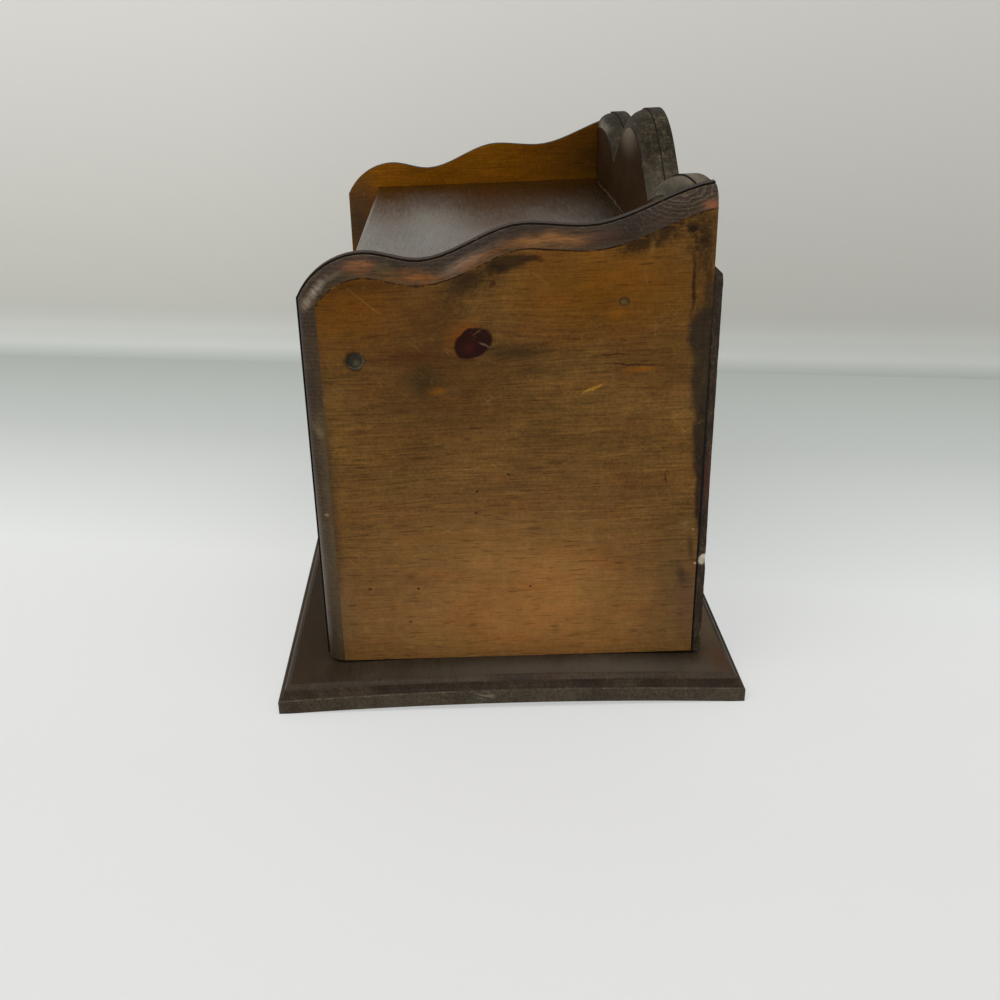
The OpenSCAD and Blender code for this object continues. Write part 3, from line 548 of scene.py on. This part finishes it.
# Beech dowel, built up as the pine is: its end grain has drunk the stain, dark with a greyer middle
dowel_wood = stained_pine(
    "dowel_beech", 0, [(0.0, "#3d3728"), (0.5, "#575040"), (1.0, "#7b735c")], shift=(0.1, 0.2, 0.9),
    shine=0.08, ragged=1.0, marks=[
        # Painted shade of the dowel's recess: a dark disc set above and in front of its centre, leaving a
        # painted light crescent below and behind
        on_side(-91.1, 234.5, 5.4, 5.4, 0, "#2b281e", 0.95, 0.2),
        on_side(-89.9, 232.6, 3.4, 3.0, 30, "#4c483a", 0.8, 0.8)])

# Turned beech knob, built up as the pine is: close rings and the gloss of handling
knob_wood = stained_pine("knob_beech", 1, PINE_STOPS, shift=(0.3, 0.3, 0.3), ring=1.4, gloss=(0.28, 0.4))

# Drawn steel of the nails and screws: grey metal, with brown rust where it is dull
RUST = 1.5
steel, steel_tree, steel_shader = new_material("aged_steel")
steel_place = add(steel_tree, "ShaderNodeTexCoord", out="Object")
rust = add(steel_tree, "ShaderNodeTexNoise", {"Vector": steel_place, "Scale": 1 / (RUST * MM), "Detail": 3.0})
steel_colour = add(steel_tree, "ShaderNodeValToRGB", {"Fac": rust}, stops=[
    (0.35, "#4d3a2c"), (0.5, "#7d7870"), (0.75, "#a09c95")])
steel_tree.links.new(steel_colour, steel_shader.inputs["Base Color"])
steel_dull = add(steel_tree, "ShaderNodeMapRange", {"Value": rust, "To Min": 0.6, "To Max": 0.35})
steel_tree.links.new(steel_dull, steel_shader.inputs["Roughness"])
steel_shader.inputs["Metallic"].default_value = 1.0

# Angles and distances that join, smooth and ease the shown meshes
WELD = 0.002 * MM
FLAT_ANGLE = math.radians(0.4)
SMOOTH_ANGLE = math.radians(20)
SHARP_ANGLE = math.radians(50)


def finish_piece(bm, node, body, materials):
    """A new piece that stands for a CAD node, shaded smooth across its mouldings."""
    mesh = bpy.data.meshes.new(node + "_shown")
    bm.to_mesh(mesh)
    bm.free()
    for material in materials:
        mesh.materials.append(material)
    mesh.polygons.foreach_set("use_smooth", [True] * len(mesh.polygons))
    mesh.set_sharp_from_angle(angle=SMOOTH_ANGLE)
    piece = bpy.data.objects.new(node + "_shown", mesh)
    bpy.context.scene.collection.objects.link(piece)
    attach(piece, body)
    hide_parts(node)


def merged_copy(node):
    """The solid of a CAD node as one joined mesh with its flat faces whole."""
    bm = bmesh.new()
    bm.from_mesh(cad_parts[node].data)
    bmesh.ops.remove_doubles(bm, verts=bm.verts, dist=WELD)
    bmesh.ops.dissolve_limit(bm, angle_limit=FLAT_ANGLE, verts=bm.verts, edges=bm.edges)
    bm.normal_update()
    return bm


def ease(bm, width, wanted, slot=None):
    """Rounds the sharp outer arrises that wanted() picks, to a width in metres, and gives the new faces a
    material slot."""
    edges = [e for e in bm.edges if len(e.link_faces) == 2 and e.is_convex
             and e.calc_face_angle() > SHARP_ANGLE and wanted(e)]
    eased = bmesh.ops.bevel(
        bm, geom=edges, offset=width, offset_type="OFFSET", segments=2, profile=0.5, affect="EDGES",
        clamp_overlap=False, material=-1)
    if slot is not None:
        for face in eased["faces"]:
            face.material_index = slot
    bm.normal_update()


# Depths of the moulding from the plain face of its board, and how a face is told to lie in a plane
STRIP_END = 6.9 * MM
STEP_END = 7.45 * MM
RUBBED_AND_LIT_END = 8.3 * MM
QUIRK_START = 18.55 * MM
QUIRK_WIDTH = 0.7 * MM
QUIRK_LOWEST = 255 * MM
CUT_MATCH = 0.001 * MM
FACE_MATCH = 0.02 * MM
FACING = 0.9
SQUARE_BACK = 0.99

# Material slots of a moulded board
FACE, ROUND, STRIP, REST, GROOVE, RUBBED_AND_LIT, QUIRK = range(7)


def zone(bm, axis, plain, moulded):
    """Paints a moulded board by the depth of each face from the plain side, with a pale line along the top of
    the round, worn and with a painted highlight, and a dark line where it meets the face."""
    way = 1 if moulded > plain else -1
    thickness = abs(moulded - plain)
    across_board = Vector([float(i == axis) for i in range(3)])
    for depth in (STEP_END, RUBBED_AND_LIT_END):
        bmesh.ops.bisect_plane(
            bm, geom=bm.verts[:] + bm.edges[:] + bm.faces[:], dist=CUT_MATCH,
            plane_co=across_board * (plain + way * depth), plane_no=across_board)
    for face in bm.faces:
        depth = (face.calc_center_median()[axis] - plain) * way
        turn = face.normal[axis] * way
        if depth > thickness - FACE_MATCH and turn > FACING:
            face.material_index = FACE
        elif depth < FACE_MATCH and turn < -FACING:
            face.material_index = REST
        elif depth < STRIP_END or face.normal.y > SQUARE_BACK and axis == 0:
            face.material_index = STRIP
        elif depth < STEP_END or depth > QUIRK_START:
            face.material_index = GROOVE
        elif depth < RUBBED_AND_LIT_END:
            face.material_index = RUBBED_AND_LIT
        else:
            face.material_index = ROUND
    rim = bmesh.ops.inset_region(
        bm, faces=[f for f in bm.faces if f.material_index == FACE], thickness=QUIRK_WIDTH,
        use_even_offset=True, use_boundary=True)
    for face in rim["faces"]:
        beside = {f.material_index for e in face.edges for f in e.link_faces}
        if GROOVE in beside and face.calc_center_median().z > QUIRK_LOWEST:
            face.material_index = QUIRK


for node, side, face_material in (
        ("right_side_panel", 1, panel_face), ("left_side_panel", -1, far_face)):
    bm = merged_copy(node)
    zone(bm, 0, side * panel_low.x, side * panel_high.x)
    finish_piece(
        bm, node, "case",
        [face_material, panel_ovolo, panel_strip, panel_inside, groove_pine, rubbed_and_lit_arris, quirk_pine])

# Gallery: sawn by hand, so that its far lobe stands higher than the near one, and wider behind the groove
GALLERY_FOOT = 18 * MM
ARCH_HALF = 88 * MM
FAR_RISE = 6 * MM
NEAR_DROP = 2.7 * MM
EXTRA_STRIP = 2.8 * MM
bm = merged_copy("back_gallery")
zone(bm, 1, gallery_high.y, gallery_low.y)
for vert in bm.verts:
    above = min(1.0, max(0.0, (vert.co.z - gallery_low.z - GALLERY_FOOT) / GALLERY_FOOT))
    far = min(1.0, max(0.0, (-ARCH_HALF / 2 - vert.co.x) / (ARCH_HALF / 2)))
    if gallery_high.y - vert.co.y < FACE_MATCH:
        vert.co.y += above * EXTRA_STRIP
    vert.co.z += above * (FAR_RISE * far - NEAR_DROP * (1 - far))
bm.normal_update()
finish_piece(
    bm, "back_gallery", "case",
    [gallery_pine, gallery_edge, gallery_edge, gallery_pine, gallery_groove, gallery_edge, quirk_pine])

# Base: an upright edge with a narrow lip, then a hollow and a round, measured in from its outline
BASE_TOP, BASE_EDGE, BASE_COVE, BASE_ROUND, BASE_ARRIS = range(5)
LIP = 1.0 * MM
COVE = 4.3 * MM
MOULDING = 8.4 * MM
UPRIGHT_FACE = 0.1
EDGE_TOP_LOWEST = 5 * MM
SHORT_EDGE = 2 * MM
BASE_EASED = 0.4 * MM
bm = merged_copy("base_board")
for face in bm.faces:
    middle = face.calc_center_median()
    inset = min(base_high.x - abs(middle.x), base_high.y - abs(middle.y))
    if abs(face.normal.z) < UPRIGHT_FACE or face.normal.z > 0 and inset < LIP:
        face.material_index = BASE_EDGE
    elif face.normal.z > 0 and inset < MOULDING:
        face.material_index = BASE_COVE if inset < COVE else BASE_ROUND
    else:
        face.material_index = BASE_TOP


def fillet_arris(edge):
    """The top edge of the upright fillet round the base."""
    on_fillet = {face.material_index for face in edge.link_faces} == {BASE_EDGE}
    upright = min(abs(face.normal.z) for face in edge.link_faces) < UPRIGHT_FACE
    high = min(vert.co.z for vert in edge.verts) > EDGE_TOP_LOWEST
    return on_fillet and upright and high and edge.calc_length() > SHORT_EDGE


ease(bm, BASE_EASED, fillet_arris, BASE_ARRIS)
finish_piece(
    bm, "base_board", "case",
    [base_pine, base_fillet, base_cove, base_round, base_arris])

# Back board: its sawn edge is ragged and chipped, and it has sprung a little from the panels at the foot.
# ROUGH and BITE are the waves in a metre of its thickness and of its height, and wear is in mm.
BACK_FLAT, BACK_SAWN = range(2)
UPRIGHT_EDGE = 100 * MM
THICKNESS_EDGE = 4 * MM
SAWN_BAND = 1 * MM
SIDEWAYS = 0.5
CUTS_UP = 170
CUTS_THROUGH = 4
ROUGH = (180, 260)
ROUGH_FRACTAL = (0.6, 2.1, 4)
BITE = (60, 70)
WEAR_EVEN = 0.3
WEAR_ROUGH = 0.35
WEAR_BITE = 0.9
WEAR_CORNER = 2.2
WEAR_CHIP = 2.4
CORNER_REACH = 5 * MM
CHIP_REACH = 5 * MM
SPRING_TOP = 170 * MM
SPRING_RUN = 90 * MM
SPRING = 0.7 * MM
bm = bmesh.new()
back_middle = Matrix.Translation((back_low + back_high) / 2)
back_size = Matrix.Diagonal((*(back_high - back_low), 1.0))
bmesh.ops.create_cube(bm, size=1.0, matrix=back_middle @ back_size)
uprights = [e for e in bm.edges if abs(e.verts[0].co.z - e.verts[1].co.z) > UPRIGHT_EDGE]
bmesh.ops.subdivide_edges(bm, edges=uprights, cuts=CUTS_UP, use_grid_fill=True)
across = [e for e in bm.edges if abs(e.verts[0].co.y - e.verts[1].co.y) > THICKNESS_EDGE]
bmesh.ops.subdivide_edges(bm, edges=across, cuts=CUTS_THROUGH, use_grid_fill=True)
for vert in bm.verts:
    x, y, z = vert.co
    if abs(x) > back_high.x - SAWN_BAND:
        side = math.copysign(1.0, x)
        rough = noise.fractal(Vector((side, y * ROUGH[0], z * ROUGH[1])), *ROUGH_FRACTAL)
        bite = noise.noise(Vector((side * 3, y * BITE[0], z * BITE[1])))
        corner = max(0.0, z - (back_high.z - CORNER_REACH)) / CORNER_REACH
        chip = max(0.0, 1 - abs(z - CHIP[2] * MM) / CHIP_REACH) if side > 0 else 0.0
        outer = (y - back_low.y) / (back_high.y - back_low.y)
        wear = WEAR_EVEN + WEAR_ROUGH * rough + WEAR_BITE * max(0.0, bite)
        wear += WEAR_CORNER * corner ** 2 + WEAR_CHIP * chip * outer
        vert.co.x -= side * MM * wear
    spring = min(1.0, max(0.0, (SPRING_TOP - z) / SPRING_RUN))
    vert.co.y += SPRING * spring * spring
bm.normal_update()
for face in bm.faces:
    face.material_index = BACK_SAWN if abs(face.normal.x) > SIDEWAYS else BACK_FLAT
finish_piece(bm, "back_panel", "case", [back_face, back_board])

# Shelf, stop strip and door: boards with eased arrises
LONG_EDGE = 4 * MM
BOARD_EASED = 0.5 * MM


def long_edge(edge):
    """An arris of a board, and not of a screw hole in it."""
    return edge.calc_length() > LONG_EDGE


for node, body, slot, material in (
        ("top_shelf", "case", "dark_stained_pine", shelf_pine),
        ("door_stop", "case", "brown_stained_board", back_face),
        ("front_door", "door", "honey_stained_pine", door_pine)):
    bm = merged_copy(node)
    ease(bm, BOARD_EASED, long_edge)
    finish_piece(bm, node, body, [material])

# Dowels, knob and fasteners keep their solids
for node, material in (
        ("right_pivot_dowel", dowel_wood), ("left_pivot_dowel", dowel_wood), ("door_knob", knob_wood),
        ("knob_screw", steel), ("base_screws", steel), ("gallery_screws", steel),
        ("back_panel_nails", steel), ("stop_brads", steel)):
    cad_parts[node].data.materials.clear()
    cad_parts[node].data.materials.append(material)

# Pale table that sweeps up into a backdrop behind the box, greyer where it lies further off as painted
# fall-off of the light
SWEEP_X = -515 * MM
SWEEP_RADIUS = 30 * MM
SWEEP_STEPS = 12
SWEEP_TURN = math.radians(-12)
TABLE_NEAR = 350 * MM
WALL_TOP = 500 * MM
WALL_HALF = 450 * MM
WALL_SHADE = 0.86
REACH = 4.0
bm = bmesh.new()
start = bm.verts.new((REACH, -REACH, 0))
foot = bm.verts.new((SWEEP_X, -REACH, 0))
bm.edges.new((start, foot))
turned = bmesh.ops.spin(
    bm, geom=[foot], cent=(SWEEP_X, -REACH, SWEEP_RADIUS), axis=(0, 1, 0), angle=math.radians(90),
    steps=SWEEP_STEPS)
top = [v for v in turned["geom_last"] if isinstance(v, bmesh.types.BMVert)][0]
risen = bmesh.ops.extrude_vert_indiv(bm, verts=[top])["verts"]
bmesh.ops.translate(bm, vec=(0, 0, REACH), verts=risen)
wide = bmesh.ops.extrude_edge_only(bm, edges=bm.edges[:])
widened = [v for v in wide["geom"] if isinstance(v, bmesh.types.BMVert)]
bmesh.ops.translate(bm, vec=(0, 2 * REACH, 0), verts=widened)
bmesh.ops.recalc_face_normals(bm, faces=bm.faces)
if sum(face.normal.z * face.calc_area() for face in bm.faces) < 0:
    bmesh.ops.reverse_faces(bm, faces=bm.faces[:])
sweep_mesh = bpy.data.meshes.new("table_sweep")
bm.to_mesh(sweep_mesh)
bm.free()
sweep_mesh.polygons.foreach_set("use_smooth", [True] * len(sweep_mesh.polygons))

# Matt painted board: a pale surface that takes a soft shadow, with painted shade: greyer further off on the
# table, and darker towards the foot of the backdrop and towards one side of it
paper, paper_tree, paper_shader = new_material("pale_painted_board")
paper_place = add(paper_tree, "ShaderNodeTexCoord", out="Object")
paper_far = add(paper_tree, "ShaderNodeSeparateXYZ", {0: paper_place}, out="X")
paper_far = add(paper_tree, "ShaderNodeMapRange", {
    "Value": paper_far, "From Min": SWEEP_X, "From Max": TABLE_NEAR})
table_colour = add(paper_tree, "ShaderNodeValToRGB", {"Fac": paper_far}, stops=[
    (0.0, "#b4b9b4"), (0.3, "#c8ccc9"), (0.65, "#eceeed"), (1.0, "#e8e8e7")])
paper_up = add(paper_tree, "ShaderNodeSeparateXYZ", {0: paper_place}, out="Z")
paper_up = add(paper_tree, "ShaderNodeMapRange", {"Value": paper_up, "From Max": WALL_TOP})
wall_colour = add(paper_tree, "ShaderNodeValToRGB", {"Fac": paper_up}, stops=[
    (0.0, "#b6bbb6"), (0.03, "#d6d9d3"), (0.08, "#dddfd8"), (0.13, "#d6d6ce"), (1.0, "#f3f0ea")])
paper_side = add(paper_tree, "ShaderNodeSeparateXYZ", {0: paper_place}, out="Y")
paper_side = add(paper_tree, "ShaderNodeMapRange", {
    "Value": paper_side, "From Min": -WALL_HALF, "From Max": WALL_HALF, "To Min": 1.0, "To Max": WALL_SHADE})
wall_colour = add(paper_tree, "ShaderNodeVectorMath", {
    0: wall_colour, 1: paper_side}, operation="MULTIPLY")
is_wall = add(paper_tree, "ShaderNodeMath", {0: paper_up, 1: 0.001}, operation="GREATER_THAN")
paper_colour = add(paper_tree, "ShaderNodeMix", {
    0: is_wall, 6: table_colour, 7: wall_colour}, out=2, data_type="RGBA")
paper_tree.links.new(paper_colour, paper_shader.inputs["Base Color"])
paper_shader.inputs["Roughness"].default_value = 0.6
paper_shader.inputs["Specular IOR Level"].default_value = 0.2

# The table and backdrop look evenly lit, with a light shadow, and the backdrop is clear from behind
EVEN_SHARE = 0.6
TABLE_GLOW = 0.92
WALL_GLOW = 0.72
seen = add(paper_tree, "ShaderNodeLightPath", out="Is Camera Ray")
mirrored = add(paper_tree, "ShaderNodeLightPath", out="Is Glossy Ray")
through = add(paper_tree, "ShaderNodeLightPath", out="Is Transmission Ray")
even = add(paper_tree, "ShaderNodeMath", {0: seen, 1: mirrored}, operation="ADD")
even = add(paper_tree, "ShaderNodeMath", {0: even, 1: through}, operation="ADD")
even = add(paper_tree, "ShaderNodeMath", {0: even, 1: EVEN_SHARE}, operation="MULTIPLY")
paper_glow = add(paper_tree, "ShaderNodeMapRange", {
    "Value": paper_up, "From Max": 0.1, "To Min": TABLE_GLOW, "To Max": WALL_GLOW})
glow = add(paper_tree, "ShaderNodeEmission", {"Color": paper_colour, "Strength": paper_glow})
sheet = add(paper_tree, "ShaderNodeMixShader", {0: even, 1: paper_shader.outputs[0], 2: glow})
behind = add(paper_tree, "ShaderNodeNewGeometry", out="Backfacing")
behind = add(paper_tree, "ShaderNodeMath", {0: behind, 1: seen}, operation="MULTIPLY")
clear = add(paper_tree, "ShaderNodeBsdfTransparent")
sheet = add(paper_tree, "ShaderNodeMixShader", {0: behind, 1: sheet, 2: clear})
paper_tree.links.new(sheet, paper_tree.nodes["Material Output"].inputs["Surface"])
sweep_mesh.materials.append(paper)
sweep = bpy.data.objects.new("table_sweep", sweep_mesh)
sweep.rotation_euler = (0, 0, SWEEP_TURN)
bpy.context.scene.collection.objects.link(sweep)

# Soft daylight all round, and two wide lamps above the box
world = bpy.data.worlds.new("soft_room")
bpy.context.scene.world = world
world.use_nodes = True
daylight = world.node_tree.nodes["Background"]
daylight.inputs["Color"].default_value = linear("#f6f6f6")
daylight.inputs["Strength"].default_value = 0.88


def lamp(name, place, aim, size, watts):
    """A round soft lamp at a place in metres, turned towards its aim."""
    light = bpy.data.lights.new(name, "AREA")
    light.shape = "DISK"
    light.size = size
    light.energy = watts
    stand = bpy.data.objects.new(name, light)
    stand.location = place
    stand.rotation_euler = (Vector(aim) - Vector(place)).to_track_quat("-Z", "Y").to_euler()
    bpy.context.scene.collection.objects.link(stand)


lamp("window", place=(0.8, -0.9, 2.1), aim=(0, 0, 0.15), size=1.2, watts=9)
lamp("ceiling", place=(0.6, 0.2, 2.4), aim=(0, 0, 0.2), size=1.8, watts=6)

# Camera as in the photograph, solved from the corners and edges of the box
camera = bpy.data.cameras.new("camera")
camera.sensor_width = 36
camera.lens = 40.904
camera.shift_x = 0.0675
camera.shift_y = 0.0337
camera.clip_start = 0.05
tripod = bpy.data.objects.new("camera", camera)
tripod.location = Vector((895.53, -27.25, 430.7)) * MM
tripod.rotation_euler = Euler([math.radians(a) for a in (64.9378, 2.3634, 90.666)], "XYZ")
bpy.context.scene.collection.objects.link(tripod)
bpy.context.scene.camera = tripod

bpy.context.scene.view_settings.view_transform = "Standard"
